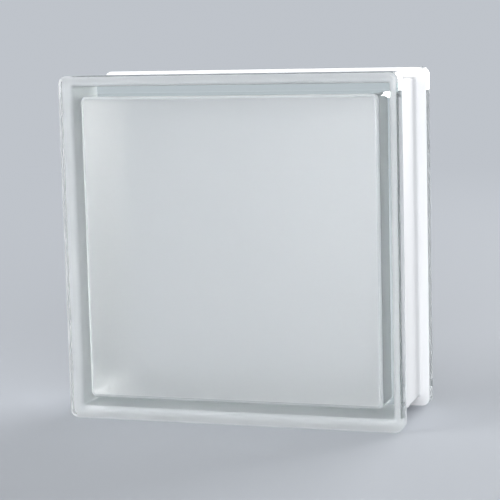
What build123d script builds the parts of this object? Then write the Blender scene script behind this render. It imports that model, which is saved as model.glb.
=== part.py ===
from build123d import *
import math
import os

# Hollow glass block for walls: two pressed glass dishes fused at mid depth, white in the mortar channel.
# Frame: X to the right, Y from the front face to the rear face, Z up, origin under the middle of the block.
# All sizes are in millimetres and degrees.

# Whole block, for a 200 mm module with a 10 mm mortar joint
block_size = 190.0
block_depth = 80.0
face_corner_radius = 4.5

# Rim round each pane, which stands out past the side walls
rim_depth = 11.0
face_edge_radius = 2.6
rim_back_radius = 0.6

# Mortar channel between the two rims
channel_recess = 6.0
channel_fillet = 2.0
wall_corner_radius = 1.0

# Glass of each dish
pane_thickness = 8.0
wall_thickness = 5.5
wall_draft = 1.0
cavity_corner_radius = 3.0
cavity_edge_radius = 2.2

# Ridge where the two dishes are fused
seam_ridge_height = 0.5
seam_ridge_half_width = 2.5

# White coating on the channel floor and on the inner faces of both rims
coating_thickness = 0.5
coating_edge_gap = 0.1

# Sizes that follow from the ones above
half_depth = block_depth / 2
wall_size = block_size - 2 * channel_recess
wall_depth = half_depth - rim_depth
channel_width = 2 * wall_depth
cavity_size = wall_size - 2 * wall_thickness
cavity_depth = half_depth - pane_thickness
ridge_angle = math.degrees(math.atan2(seam_ridge_height, seam_ridge_half_width))
coating_floor_size = wall_size + 2 * coating_thickness
coating_floor_radius = wall_corner_radius + coating_thickness
coating_inset = rim_back_radius + coating_edge_gap
coating_rim_size = block_size - 2 * coating_inset
coating_rim_radius = max(face_corner_radius - coating_inset, coating_edge_gap)
coating_fillet = channel_fillet - coating_thickness


def depth_plane(y):
    """Upright plane across the block at depth y, with its normal towards the rear face."""
    return Plane(origin=(0, y, block_size / 2), x_dir=(1, 0, 0), z_dir=(0, 1, 0))


def loop_at(edges, y):
    """The edges that lie in the upright plane at depth y."""
    return edges.filter_by_position(Axis.Y, y - 0.01, y + 0.01)


# Front half: rim and pane as one slab, then the side walls, the seam ridge and the cavity
with BuildPart() as front_half:
    with BuildSketch(depth_plane(-half_depth)):
        RectangleRounded(block_size, block_size, face_corner_radius)
    extrude(amount=rim_depth)
    fillet(loop_at(front_half.edges(), -half_depth), radius=face_edge_radius)
    fillet(loop_at(front_half.edges(), -wall_depth), radius=rim_back_radius)
    with BuildSketch(depth_plane(-wall_depth)):
        RectangleRounded(wall_size, wall_size, wall_corner_radius)
    extrude(amount=wall_depth)
    fillet(loop_at(front_half.edges(Select.LAST), -wall_depth), radius=channel_fillet)
    with BuildSketch(depth_plane(-seam_ridge_half_width)):
        RectangleRounded(wall_size, wall_size, wall_corner_radius)
    extrude(amount=seam_ridge_half_width, taper=-ridge_angle)
    with BuildSketch(depth_plane(-cavity_depth)):
        RectangleRounded(cavity_size, cavity_size, cavity_corner_radius)
    extrude(amount=cavity_depth, taper=-wall_draft, mode=Mode.SUBTRACT)
    fillet(loop_at(front_half.edges(), -cavity_depth), radius=cavity_edge_radius)

# Rear half: a second dish from the same mould, turned round to face the first
with BuildPart() as rear_half:
    add(front_half.part, rotation=(0, 0, 180))

# Edge coating: a thin skin on the channel floor, over the seam ridge and up the inner face of each rim
with BuildPart() as edge_coating:
    with BuildSketch(depth_plane(-wall_depth)):
        RectangleRounded(coating_floor_size, coating_floor_size, coating_floor_radius)
    extrude(amount=channel_width)
    with BuildSketch(depth_plane(-wall_depth)):
        RectangleRounded(coating_rim_size, coating_rim_size, coating_rim_radius)
    extrude(amount=coating_thickness)
    with BuildSketch(depth_plane(wall_depth)):
        RectangleRounded(coating_rim_size, coating_rim_size, coating_rim_radius)
    extrude(amount=-coating_thickness)
    inner_face = wall_depth - coating_thickness
    for y in (-inner_face, inner_face):
        face_edges = loop_at(edge_coating.edges(), y)
        floor_loop = face_edges.filter_by_position(
            Axis.X, -coating_floor_size / 2 - 0.01, coating_floor_size / 2 + 0.01
        ).filter_by_position(
            Axis.Z, (block_size - coating_floor_size) / 2 - 0.01, (block_size + coating_floor_size) / 2 + 0.01
        )
        fillet(floor_loop, radius=coating_fillet)
    with BuildSketch(depth_plane(-seam_ridge_half_width)):
        RectangleRounded(coating_floor_size, coating_floor_size, coating_floor_radius)
    extrude(amount=seam_ridge_half_width, taper=-ridge_angle)
    with BuildSketch(depth_plane(seam_ridge_half_width)):
        RectangleRounded(coating_floor_size, coating_floor_size, coating_floor_radius)
    extrude(amount=-seam_ridge_half_width, taper=-ridge_angle)
    with BuildSketch(depth_plane(-wall_depth)):
        RectangleRounded(wall_size, wall_size, wall_corner_radius)
    extrude(amount=channel_width, mode=Mode.SUBTRACT)
    add(front_half.part, mode=Mode.SUBTRACT)
    add(rear_half.part, mode=Mode.SUBTRACT)

front_half.part.label = "front_half"
rear_half.part.label = "rear_half"
edge_coating.part.label = "edge_coating"

os.makedirs("parts", exist_ok=True)
export_step(front_half.part, "parts/front_half.step")
export_step(rear_half.part, "parts/rear_half.step")
export_step(edge_coating.part, "parts/edge_coating.step")

for piece in (front_half.part, rear_half.part, edge_coating.part):
    print(piece.label, "solids", len(piece.solids()), "volume cm3", round(piece.volume / 1000, 2))
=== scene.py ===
"""The looks of a hollow glass wall block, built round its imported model."""

import math

import bmesh
import bpy
from bpy.props import FloatProperty, FloatVectorProperty, PointerProperty
from mathutils import Matrix, Vector


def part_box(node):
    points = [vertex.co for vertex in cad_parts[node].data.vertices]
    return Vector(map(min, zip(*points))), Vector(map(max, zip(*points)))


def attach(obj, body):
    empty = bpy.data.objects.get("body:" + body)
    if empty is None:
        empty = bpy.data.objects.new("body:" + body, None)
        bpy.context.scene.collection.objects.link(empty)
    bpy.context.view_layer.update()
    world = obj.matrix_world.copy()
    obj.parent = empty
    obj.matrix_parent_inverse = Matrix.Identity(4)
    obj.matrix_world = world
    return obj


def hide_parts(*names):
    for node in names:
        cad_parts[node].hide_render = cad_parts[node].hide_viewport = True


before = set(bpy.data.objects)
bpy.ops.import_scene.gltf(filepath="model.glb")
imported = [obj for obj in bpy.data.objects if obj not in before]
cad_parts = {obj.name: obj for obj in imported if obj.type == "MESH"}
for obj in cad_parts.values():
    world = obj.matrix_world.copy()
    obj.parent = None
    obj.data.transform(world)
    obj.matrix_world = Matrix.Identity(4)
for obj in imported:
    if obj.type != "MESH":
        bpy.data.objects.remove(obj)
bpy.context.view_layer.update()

bl_info = {
    "name": "Glass block",
    "version": (1, 0, 0),
    "blender": (4, 5, 0),
    "location": "View3D > Sidebar > Glass block",
    "description": "Builds a hollow glass wall block with a white coated mortar channel",
    "category": "Object",
}

# Places read from the frame
glass_low, glass_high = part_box("front_half")
coating_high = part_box("edge_coating")[1]
HALF_SIZE = glass_high.x
HALF_DEPTH = -glass_low.y
MIDDLE_HEIGHT = (glass_low.z + glass_high.z) / 2
CHANNEL_HALF_WIDTH = coating_high.y

MM = 0.001
IMAGE_PIXELS = 500

# How finely the corners of an outline, the roundings along it and the floor's edge are cut
CORNER_STEPS = 10
ROUNDING_STEPS = 8
FLOOR_STEPS = 96

# How much the normals of a rounding follow the large faces beside it, out of 100
LARGE_FACE_WEIGHT = 90

# Share of a rounding, from either end, that counts as the end
ROUNDING_END = 0.05

# Parts of the cavity's surface: the insides of the panes, and the rounded edges beside the side walls
SURFACE_MASKS = ("misted", "edged")


class BlockSizes(bpy.types.PropertyGroup):
    """Sizes of the glass and of its coating."""

    face_corner_radius: FloatProperty(
        name="Face corner radius", description="Corner of the square outline",
        default=4.5 * MM, unit="LENGTH")
    face_edge_radius: FloatProperty(
        name="Face edge radius", description="Rounding between a pane's face and the rim's side",
        default=2.6 * MM, unit="LENGTH")
    rim_back_radius: FloatProperty(
        name="Rim back radius", description="Rounding between the rim's side and its channel face",
        default=0.6 * MM, unit="LENGTH")
    channel_recess: FloatProperty(
        name="Channel recess", description="How far the side walls lie inside the rims",
        default=6.0 * MM, unit="LENGTH")
    channel_fillet: FloatProperty(
        name="Channel fillet", description="Hollow rounding between the channel floor and a rim",
        default=2.0 * MM, unit="LENGTH")
    wall_corner_radius: FloatProperty(
        name="Wall corner radius", description="Corner of the side walls, seen from the front",
        default=1.0 * MM, unit="LENGTH")
    pane_thickness: FloatProperty(
        name="Pane thickness", description="Glass between a face and the cavity",
        default=8.0 * MM, unit="LENGTH")
    wall_thickness: FloatProperty(
        name="Wall thickness", description="Glass of a side wall beside a pane",
        default=5.5 * MM, unit="LENGTH")
    wall_draft: FloatProperty(
        name="Wall draft", description="How much the cavity widens towards the seam",
        default=math.radians(1.0), subtype="ANGLE")
    cavity_corner_radius: FloatProperty(
        name="Cavity corner radius", description="Corner of the cavity, seen from the front",
        default=3.0 * MM, unit="LENGTH")
    cavity_edge_radius: FloatProperty(
        name="Cavity edge radius", description="Rounding between a pane's inside and the walls",
        default=2.2 * MM, unit="LENGTH")
    ridge_height: FloatProperty(
        name="Ridge height", description="How far the fused seam stands out of the channel floor",
        default=0.5 * MM, unit="LENGTH")
    ridge_half_width: FloatProperty(
        name="Ridge half width", description="Half of the fused seam's width",
        default=2.5 * MM, unit="LENGTH")
    coating_thickness: FloatProperty(
        name="Coating thickness", description="How far the coating stands off the glass",
        default=0.5 * MM, unit="LENGTH")
    coating_edge_gap: FloatProperty(
        name="Coating edge gap", description="How far the coating stops short of the rims' sides",
        default=0.1 * MM, unit="LENGTH")
    coating_bite: FloatProperty(
        name="Coating bite", description="How far the coating's back lies in the glass it wets",
        default=0.08 * MM, unit="LENGTH")


class BlockFinish(bpy.types.PropertyGroup):
    """Colours and surface qualities."""

    glass_tint: FloatVectorProperty(
        name="Glass tint", description="What a depth of glass lets through",
        default=(0.70, 0.90, 0.84), subtype="COLOR", size=3, min=0, max=1)
    tint_density: FloatProperty(
        name="Tint density", description="How strongly a metre of glass takes on its tint",
        default=4.0)
    glass_ior: FloatProperty(
        name="Glass index", description="Index of refraction of the pressed glass",
        default=1.52)
    clear_roughness: FloatProperty(
        name="Clear roughness", description="Roughness of the fire polished glass",
        default=0.01, min=0, max=1, subtype="FACTOR")
    mist_roughness: FloatProperty(
        name="Mist roughness", description="Roughness of the misted insides of the panes",
        default=0.45, min=0, max=1, subtype="FACTOR")
    mist_haze: FloatProperty(
        name="Mist haze", description="Share of light that the misted insides scatter as white",
        default=0.15, min=0, max=1, subtype="FACTOR")
    edge_haze: FloatProperty(
        name="Edge haze", description="Share of light that the cavity's rounded edges scatter as white",
        default=0.9, min=0, max=1, subtype="FACTOR")
    haze_colour: FloatVectorProperty(
        name="Haze colour", description="Colour of the light that misted glass scatters",
        default=(0.93, 0.95, 0.95), subtype="COLOR", size=3, min=0, max=1)
    haze_roughness: FloatProperty(
        name="Haze roughness", description="Roughness of the surface that scatters the haze",
        default=0.9, min=0, max=1, subtype="FACTOR")
    grain_scale: FloatProperty(
        name="Grain scale", description="Fineness of the grain on the misted insides, to a metre",
        default=900.0)
    grain_share: FloatProperty(
        name="Grain share", description="How much of the glass relief is grain",
        default=0.3, min=0, max=1, subtype="FACTOR")
    wave_scale: FloatProperty(
        name="Wave scale", description="Fineness of the waves that pressing leaves, to a metre",
        default=28.0)
    wave_share: FloatProperty(
        name="Wave share", description="How much of the glass relief is waves",
        default=0.03, min=0, max=1, subtype="FACTOR")
    relief_depth: FloatProperty(
        name="Relief depth", description="Depth of the glass relief at full strength",
        default=0.2 * MM, unit="LENGTH")
    relief_strength: FloatProperty(
        name="Relief strength", description="How much of the glass relief shows",
        default=0.25, min=0, max=1, subtype="FACTOR")
    coating_colour: FloatVectorProperty(
        name="Coating colour", description="Colour of the edge coating",
        default=(0.92, 0.93, 0.945), subtype="COLOR", size=3, min=0, max=1)
    coating_roughness: FloatProperty(
        name="Coating roughness", description="Roughness of the satin coating",
        default=0.45, min=0, max=1, subtype="FACTOR")
    brush_scale: FloatProperty(
        name="Brush scale", description="Fineness of the coating's brush marks, to a metre",
        default=60.0)
    brush_depth: FloatProperty(
        name="Brush depth", description="Depth of the brush marks at full strength",
        default=0.3 * MM, unit="LENGTH")
    brush_strength: FloatProperty(
        name="Brush strength", description="How much of the brush marks shows",
        default=0.2, min=0, max=1, subtype="FACTOR")


class BlockStage(bpy.types.PropertyGroup):
    """The floor, the background and the light."""

    floor_colour: FloatVectorProperty(
        name="Floor colour", description="Colour of the floor",
        default=(0.52, 0.55, 0.595), subtype="COLOR", size=3, min=0, max=1)
    floor_roughness: FloatProperty(
        name="Floor roughness", description="Roughness of the matt floor",
        default=0.8, min=0, max=1, subtype="FACTOR")
    floor_shine: FloatProperty(
        name="Floor shine", description="How strongly the floor mirrors",
        default=0.2, min=0, max=1, subtype="FACTOR")
    background_colour: FloatVectorProperty(
        name="Background colour", description="What the camera sees past the floor's edge",
        default=(0.52, 0.55, 0.595), subtype="COLOR", size=3, min=0, max=1)
    floor_evenness: FloatProperty(
        name="Floor evenness", description="Share of the background's own tone in the floor by the block",
        default=0.15, min=0, max=1, subtype="FACTOR")
    near_distance: FloatProperty(
        name="Near distance", description="How far from the block's middle the floor counts as near",
        default=0.2, unit="LENGTH")
    even_distance: FloatProperty(
        name="Even distance", description="Where the floor shows nothing but the background's own tone",
        default=1.6, unit="LENGTH")
    floor_radius: FloatProperty(
        name="Floor radius", description="How far the floor goes", default=12.0, unit="LENGTH")
    world_colour: FloatVectorProperty(
        name="World colour", description="Colour of the light from all round",
        default=(1.0, 1.0, 1.0), subtype="COLOR", size=3, min=0, max=1)
    world_strength: FloatProperty(
        name="World strength", description="Plain light from all round", default=0.28)
    lamp_distance: FloatProperty(
        name="Lamp distance", description="From the block's middle to each lamp", default=4.0,
        unit="LENGTH")
    lamp_size: FloatProperty(
        name="Lamp size", description="Side of each square lamp", default=3.0, unit="LENGTH")
    rear_lamp_power: FloatProperty(
        name="Rear lamp power", description="Lamp behind the block, to its right", default=245.0,
        unit="POWER")
    rear_lamp_bearing: FloatProperty(
        name="Rear lamp bearing", description="Counted from +X towards +Y",
        default=math.radians(70), subtype="ANGLE")
    rear_lamp_height: FloatProperty(
        name="Rear lamp height", description="Angle above the block's middle",
        default=math.radians(10), subtype="ANGLE")
    front_lamp_power: FloatProperty(
        name="Front lamp power", description="Lamp before the block, to its left", default=140.0,
        unit="POWER")
    front_lamp_bearing: FloatProperty(
        name="Front lamp bearing", description="Counted from +X towards +Y",
        default=math.radians(210), subtype="ANGLE")
    front_lamp_height: FloatProperty(
        name="Front lamp height", description="Angle above the block's middle",
        default=math.radians(15), subtype="ANGLE")
    side_lamp_power: FloatProperty(
        name="Side lamp power", description="Lamp before the block, to its right", default=115.0,
        unit="POWER")
    side_lamp_bearing: FloatProperty(
        name="Side lamp bearing", description="Counted from +X towards +Y",
        default=math.radians(290), subtype="ANGLE")
    side_lamp_height: FloatProperty(
        name="Side lamp height", description="Angle above the block's middle",
        default=math.radians(15), subtype="ANGLE")


class Value:
    """A shader socket that can stand in a Python sum."""

    def __init__(self, nodes, socket):
        self.nodes = nodes
        self.socket = socket

    def maths(self, operation, first, second):
        return self.nodes.add("ShaderNodeMath", {"operation": operation}, {0: first, 1: second})

    def __add__(self, other):
        return self.maths("ADD", self, other)

    def __radd__(self, other):
        return self.maths("ADD", other, self)

    def __mul__(self, other):
        return self.maths("MULTIPLY", self, other)

    def __rmul__(self, other):
        return self.maths("MULTIPLY", other, self)

    def output(self, name):
        """Another output of the same node."""
        return Value(self.nodes, self.socket.node.outputs[name])


class Nodes:
    """The node tree of one material or world."""

    def __init__(self, owner):
        owner.use_nodes = True
        self.tree = owner.node_tree
        self.tree.nodes.clear()

    def add(self, kind, settings=None, sockets=None, output=0):
        """Adds a node, with its settings first and then the values or links of its sockets."""
        node = self.tree.nodes.new(kind)
        for name, value in (settings or {}).items():
            setattr(node, name, value)
        for name, value in (sockets or {}).items():
            if isinstance(value, Value):
                self.tree.links.new(value.socket, node.inputs[name])
            else:
                node.inputs[name].default_value = value
        if not node.outputs:
            return node
        return Value(self, node.outputs[output])


def rounded_square(bm, half, radius, depth):
    """Adds a square face with rounded corners across the block, and returns the face."""
    corners = bmesh.ops.create_grid(bm, x_segments=1, y_segments=1, size=half)["verts"]
    bmesh.ops.rotate(bm, verts=corners, matrix=Matrix.Rotation(math.pi / 2, 3, "X"))
    bmesh.ops.translate(bm, verts=corners, vec=(0, depth, MIDDLE_HEIGHT))
    arcs = bmesh.ops.bevel(
        bm, geom=corners, offset=radius, segments=CORNER_STEPS, profile=0.5, affect="VERTICES",
        material=-1, clamp_overlap=False)
    return arcs["verts"][0].link_faces[0]


def stack(bm, outlines, closed=True):
    """Joins a row of rounded squares by walls, and returns the edges of each outline.

    The outlines are joined while they stand apart, and then go to their own depths."""
    loops = []
    moves = []
    last = len(outlines) - 1
    for number, (half, radius, depth) in enumerate(outlines):
        apart = number * HALF_DEPTH
        face = rounded_square(bm, half, radius, apart)
        loops.append(list(face.edges))
        moves.append((list(face.verts), depth - apart))
        if not closed or 0 < number < last:
            bmesh.ops.delete(bm, geom=[face], context="FACES_ONLY")
    for near, far in zip(loops, loops[1:]):
        bmesh.ops.bridge_loops(bm, edges=near + far)
    if not closed:
        bmesh.ops.bridge_loops(bm, edges=loops[-1] + loops[0])
    bmesh.ops.recalc_face_normals(bm, faces=bm.faces)
    for verts, move in moves:
        bmesh.ops.translate(bm, verts=verts, vec=(0, move, 0))
    return loops


def mirrored(outlines):
    """The same outlines behind the middle of the block, from the middle outwards."""
    return [(half, radius, -depth) for half, radius, depth in reversed(outlines)]


def round_loops(bm, loops, radius):
    """Rounds each loop of sharp edges."""
    for loop in loops:
        bmesh.ops.bevel(
            bm, geom=loop, offset=radius, segments=ROUNDING_STEPS, profile=0.5, affect="EDGES",
            material=-1, clamp_overlap=False)


def finished_piece(name, bm, material):
    """Turns a bmesh into a smooth shaded object of the block."""
    mesh = bpy.data.meshes.new(name)
    bm.to_mesh(mesh)
    bm.free()
    mesh.shade_smooth()
    piece = bpy.data.objects.new(name, mesh)
    bpy.context.scene.collection.objects.link(piece)
    mesh.materials.append(material)
    weights = piece.modifiers.new("face_weighted_normals", "WEIGHTED_NORMAL")
    weights.mode = "FACE_AREA"
    weights.weight = LARGE_FACE_WEIGHT
    return piece


def pressed_glass(finish):
    """Clear faintly green glass, misted where a pane faces the cavity."""
    material = bpy.data.materials.new("pressed_glass")
    nodes = Nodes(material)
    place = nodes.add("ShaderNodeTexCoord", output="Object")
    misted, edged = (
        nodes.add("ShaderNodeAttribute", {"attribute_name": name}, output="Fac")
        for name in SURFACE_MASKS)
    grain = nodes.add(
        "ShaderNodeTexNoise", {"noise_dimensions": "3D"},
        {"Vector": place, "Scale": finish.grain_scale, "Detail": 2.0, "Roughness": 0.5})
    waves = nodes.add(
        "ShaderNodeTexNoise", {"noise_dimensions": "3D"},
        {"Vector": place, "Scale": finish.wave_scale, "Detail": 1.0, "Roughness": 0.4})
    relief = grain * misted * finish.grain_share + waves * finish.wave_share
    bump = nodes.add(
        "ShaderNodeBump", None,
        {"Strength": finish.relief_strength, "Distance": finish.relief_depth,
         "Height": relief})
    glass = nodes.add(
        "ShaderNodeBsdfPrincipled", None,
        {"Base Color": (1, 1, 1, 1),
         "Roughness": misted * finish.mist_roughness + finish.clear_roughness,
         "IOR": finish.glass_ior, "Transmission Weight": 1.0, "Normal": bump})
    haze = nodes.add(
        "ShaderNodeBsdfPrincipled", None,
        {"Base Color": (*finish.haze_colour, 1), "Roughness": finish.haze_roughness})
    share = misted * finish.mist_haze + edged * finish.edge_haze
    hazed = nodes.add("ShaderNodeMixShader", None, {0: share, 1: glass, 2: haze})
    tint = nodes.add(
        "ShaderNodeVolumeAbsorption", None,
        {"Color": (*finish.glass_tint, 1), "Density": finish.tint_density})
    nodes.add("ShaderNodeOutputMaterial", None, {"Surface": hazed, "Volume": tint})
    return material


def white_coating(finish):
    """Opaque white coating with faint brush marks."""
    material = bpy.data.materials.new("edge_coating")
    nodes = Nodes(material)
    place = nodes.add("ShaderNodeTexCoord", output="Object")
    marks = nodes.add(
        "ShaderNodeTexNoise", {"noise_dimensions": "3D"},
        {"Vector": place, "Scale": finish.brush_scale, "Detail": 3.0, "Roughness": 0.5})
    bump = nodes.add(
        "ShaderNodeBump", None,
        {"Strength": finish.brush_strength, "Distance": finish.brush_depth,
         "Height": marks})
    paint = nodes.add(
        "ShaderNodeBsdfPrincipled", None,
        {"Base Color": (*finish.coating_colour, 1), "Roughness": finish.coating_roughness,
         "Normal": bump})
    nodes.add("ShaderNodeOutputMaterial", None, {"Surface": paint})
    return material


def glass_body(sizes, finish):
    """Both pressed halves as one fused body: the outside, and the cavity turned inside out."""
    wall_half = HALF_SIZE - sizes.channel_recess
    rim = (HALF_SIZE, sizes.face_corner_radius)
    wall = (wall_half, sizes.wall_corner_radius)
    front = [
        (*rim, -HALF_DEPTH),
        (*rim, -CHANNEL_HALF_WIDTH),
        (*wall, -CHANNEL_HALF_WIDTH),
        (*wall, -sizes.ridge_half_width),
    ]
    ridge = (wall_half + sizes.ridge_height, sizes.wall_corner_radius + sizes.ridge_height, 0)
    outside = bmesh.new()
    loops = stack(outside, [*front, ridge, *mirrored(front)])
    round_loops(outside, (loops[0], loops[-1]), sizes.face_edge_radius)
    round_loops(outside, (loops[1], loops[-2]), sizes.rim_back_radius)
    round_loops(outside, (loops[2], loops[-3]), sizes.channel_fillet)

    cavity_half = wall_half - sizes.wall_thickness
    cavity_depth = HALF_DEPTH - sizes.pane_thickness
    widening = cavity_depth * math.tan(sizes.wall_draft)
    cavity = bmesh.new()
    front = [(cavity_half, sizes.cavity_corner_radius, -cavity_depth)]
    seam = (cavity_half + widening, sizes.cavity_corner_radius + widening, 0)
    loops = stack(cavity, [*front, seam, *mirrored(front)])
    round_loops(cavity, (loops[0], loops[-1]), sizes.cavity_edge_radius)
    bmesh.ops.reverse_faces(cavity, faces=cavity.faces)
    masks = [cavity.verts.layers.float.new(name) for name in SURFACE_MASKS]
    for vert in cavity.verts:
        along_rounding = (cavity_depth - abs(vert.co.y)) / sizes.cavity_edge_radius
        misted = along_rounding < ROUNDING_END
        edged = ROUNDING_END <= along_rounding <= 1 - ROUNDING_END
        for mask, here in zip(masks, (misted, edged)):
            vert[mask] = float(here)
    inner = bpy.data.meshes.new("cavity")
    cavity.to_mesh(inner)
    cavity.free()
    for name in SURFACE_MASKS:
        outside.verts.layers.float.new(name)
    outside.from_mesh(inner)
    bpy.data.meshes.remove(inner)
    return finished_piece("glass_body", outside, pressed_glass(finish))


def coating_ring(sizes, finish):
    """The coating as a closed ring: its back lies just inside the glass, its front in the channel."""
    floor_back = HALF_SIZE - sizes.channel_recess - sizes.coating_bite
    floor_front = HALF_SIZE - sizes.channel_recess + sizes.coating_thickness
    back_radius = sizes.wall_corner_radius - sizes.coating_bite
    front_radius = sizes.wall_corner_radius + sizes.coating_thickness
    rim_half = HALF_SIZE - sizes.coating_edge_gap
    rim_radius = sizes.face_corner_radius - sizes.coating_edge_gap
    rim_back = CHANNEL_HALF_WIDTH + sizes.coating_bite
    arris_back = CHANNEL_HALF_WIDTH + sizes.rim_back_radius / 2
    rim_front = CHANNEL_HALF_WIDTH - sizes.coating_thickness
    ridge_back = (floor_back + sizes.ridge_height, back_radius + sizes.ridge_height, 0)
    ridge_front = (floor_front + sizes.ridge_height, front_radius + sizes.ridge_height, 0)
    front = [
        (floor_back, back_radius, -sizes.ridge_half_width),
        (floor_back, back_radius, -rim_back),
        (rim_half, rim_radius, -arris_back),
        (rim_half, rim_radius, -rim_front),
        (floor_front, front_radius, -rim_front),
        (floor_front, front_radius, -sizes.ridge_half_width),
    ]
    ring = bmesh.new()
    loops = stack(ring, [*front, ridge_front, *mirrored(front), ridge_back], closed=False)
    round_loops(ring, (loops[1], loops[-3]), sizes.channel_fillet + sizes.coating_bite)
    round_loops(ring, (loops[4], loops[-6]), sizes.channel_fillet - sizes.coating_thickness)
    bmesh.ops.recalc_face_normals(ring, faces=ring.faces)
    return finished_piece("edge_coating_ring", ring, white_coating(finish))


class GLASSBLOCK_OT_glass(bpy.types.Operator):
    """Builds the fused glass body"""

    bl_idname = "glassblock.glass"
    bl_label = "Glass body"

    def execute(self, context):
        piece = glass_body(context.scene.block_sizes, context.scene.block_finish)
        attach(piece, "root")
        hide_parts("front_half", "rear_half")
        return {"FINISHED"}


class GLASSBLOCK_OT_coating(bpy.types.Operator):
    """Builds the white coating of the mortar channel"""

    bl_idname = "glassblock.coating"
    bl_label = "Edge coating"

    def execute(self, context):
        piece = coating_ring(context.scene.block_sizes, context.scene.block_finish)
        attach(piece, "root")
        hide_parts("edge_coating")
        return {"FINISHED"}


def background_seen(nodes):
    """1 for the rays that show the background: straight, mirrored or through glass."""
    rays = nodes.add("ShaderNodeLightPath", output="Is Camera Ray")
    seen = rays
    for name in ("Is Glossy Ray", "Is Transmission Ray"):
        seen = seen.maths("MAXIMUM", seen, rays.output(name))
    return seen


def studio_floor(stage):
    """A wide round floor under the block."""
    bm = bmesh.new()
    bmesh.ops.create_circle(bm, cap_ends=True, segments=FLOOR_STEPS, radius=stage.floor_radius)
    mesh = bpy.data.meshes.new("studio_floor")
    bm.to_mesh(mesh)
    bm.free()
    floor = bpy.data.objects.new("studio_floor", mesh)
    bpy.context.scene.collection.objects.link(floor)
    material = bpy.data.materials.new("studio_floor")
    nodes = Nodes(material)
    paint = nodes.add(
        "ShaderNodeBsdfPrincipled", None,
        {"Base Color": (*stage.floor_colour, 1), "Roughness": stage.floor_roughness,
         "Specular IOR Level": stage.floor_shine})
    own_tone = nodes.add(
        "ShaderNodeEmission", None, {"Color": (*stage.background_colour, 1), "Strength": 1.0})
    place = nodes.add("ShaderNodeTexCoord", output="Object")
    distance = nodes.add(
        "ShaderNodeVectorMath", {"operation": "LENGTH"}, {0: place}, output="Value")
    share = nodes.add(
        "ShaderNodeMapRange", {"interpolation_type": "SMOOTHSTEP"},
        {"Value": distance, "From Min": stage.near_distance, "From Max": stage.even_distance,
         "To Min": stage.floor_evenness, "To Max": 1.0})
    even = nodes.add(
        "ShaderNodeMixShader", None, {0: background_seen(nodes) * share, 1: paint, 2: own_tone})
    nodes.add("ShaderNodeOutputMaterial", None, {"Surface": even})
    mesh.materials.append(material)


def soft_lamp(name, power, bearing, height, stage):
    """A large square lamp that stands off the block and shines at its middle."""
    lamp = bpy.data.lights.new(name, "AREA")
    lamp.shape = "SQUARE"
    lamp.size = stage.lamp_size
    lamp.energy = power
    holder = bpy.data.objects.new(name, lamp)
    bpy.context.scene.collection.objects.link(holder)
    away = Vector((stage.lamp_distance, 0, 0))
    away.rotate(Matrix.Rotation(-height, 3, "Y"))
    away.rotate(Matrix.Rotation(bearing, 3, "Z"))
    holder.location = away + Vector((0, 0, MIDDLE_HEIGHT))
    holder.rotation_euler = (-away).to_track_quat("-Z", "Y").to_euler()
    holder.visible_camera = False


def studio_world(stage):
    """Plain light from all round, and the background's own tone where it is seen."""
    world = bpy.data.worlds.new("studio")
    bpy.context.scene.world = world
    nodes = Nodes(world)
    light = nodes.add(
        "ShaderNodeBackground", None,
        {"Color": (*stage.world_colour, 1), "Strength": stage.world_strength})
    seen = nodes.add(
        "ShaderNodeBackground", None, {"Color": (*stage.background_colour, 1), "Strength": 1.0})
    shown = nodes.add(
        "ShaderNodeMixShader", None, {0: background_seen(nodes), 1: light, 2: seen})
    nodes.add("ShaderNodeOutputWorld", None, {"Surface": shown})


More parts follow.
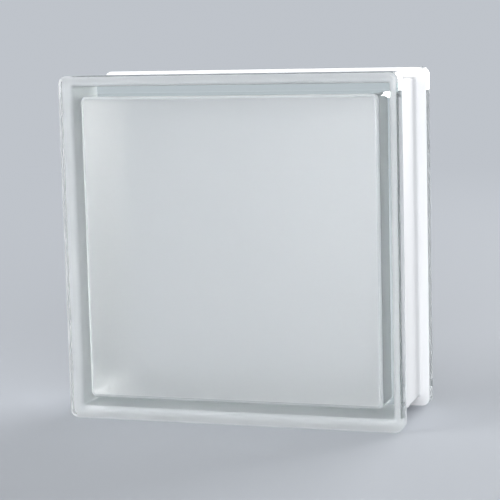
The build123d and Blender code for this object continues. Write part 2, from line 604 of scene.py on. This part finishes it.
def photo_camera():
    """The camera at the photograph's place: its numbers come from a fit to the block's edges."""
    yaw = math.radians(18.04)
    pitch = math.radians(-7.61)
    roll = math.radians(1.455)
    place = Vector((300.6, -921.8, 220.4)) * MM
    focal_pixels = 1756.9
    camera = bpy.data.cameras.new("camera")
    camera.sensor_width = 36
    camera.lens = focal_pixels / IMAGE_PIXELS * camera.sensor_width
    camera.clip_start = 0.01
    camera.clip_end = 100
    holder = bpy.data.objects.new("camera", camera)
    bpy.context.scene.collection.objects.link(holder)
    turn = (Matrix.Rotation(yaw, 4, "Z") @ Matrix.Rotation(pitch, 4, "X")
            @ Matrix.Rotation(roll, 4, "Y") @ Matrix.Rotation(math.pi / 2, 4, "X"))
    holder.matrix_world = Matrix.Translation(place) @ turn
    bpy.context.scene.camera = holder


class GLASSBLOCK_OT_stage(bpy.types.Operator):
    """Builds the floor, the lamps and the camera"""

    bl_idname = "glassblock.stage"
    bl_label = "Stage"

    def execute(self, context):
        stage = context.scene.block_stage
        studio_floor(stage)
        for name in ("rear_lamp", "front_lamp", "side_lamp"):
            power, bearing, height = (
                getattr(stage, name + "_" + value) for value in ("power", "bearing", "height"))
            soft_lamp(name, power, bearing, height, stage)
        studio_world(stage)
        photo_camera()
        context.scene.view_settings.view_transform = "Standard"
        return {"FINISHED"}


class GLASSBLOCK_PT_block(bpy.types.Panel):
    """Lists the block's pieces and its sizes"""

    bl_idname = "GLASSBLOCK_PT_block"
    bl_label = "Glass block"
    bl_space_type = "VIEW_3D"
    bl_region_type = "UI"
    bl_category = "Glass block"

    def draw(self, context):
        column = self.layout.column()
        for operator in OPERATORS:
            column.operator(operator.bl_idname)
        for group in (context.scene.block_sizes, context.scene.block_finish, context.scene.block_stage):
            column.separator()
            for name in group.__annotations__:
                column.prop(group, name)


OPERATORS = (GLASSBLOCK_OT_glass, GLASSBLOCK_OT_coating, GLASSBLOCK_OT_stage)
CLASSES = (BlockSizes, BlockFinish, BlockStage, *OPERATORS, GLASSBLOCK_PT_block)


def register():
    for made in CLASSES:
        bpy.utils.register_class(made)
    bpy.types.Scene.block_sizes = PointerProperty(type=BlockSizes)
    bpy.types.Scene.block_finish = PointerProperty(type=BlockFinish)
    bpy.types.Scene.block_stage = PointerProperty(type=BlockStage)


def unregister():
    del bpy.types.Scene.block_stage
    del bpy.types.Scene.block_finish
    del bpy.types.Scene.block_sizes
    for made in reversed(CLASSES):
        bpy.utils.unregister_class(made)


def main():
    register()
    bpy.ops.glassblock.glass()
    bpy.ops.glassblock.coating()
    bpy.ops.glassblock.stage()


if __name__ == "__main__":
    main()
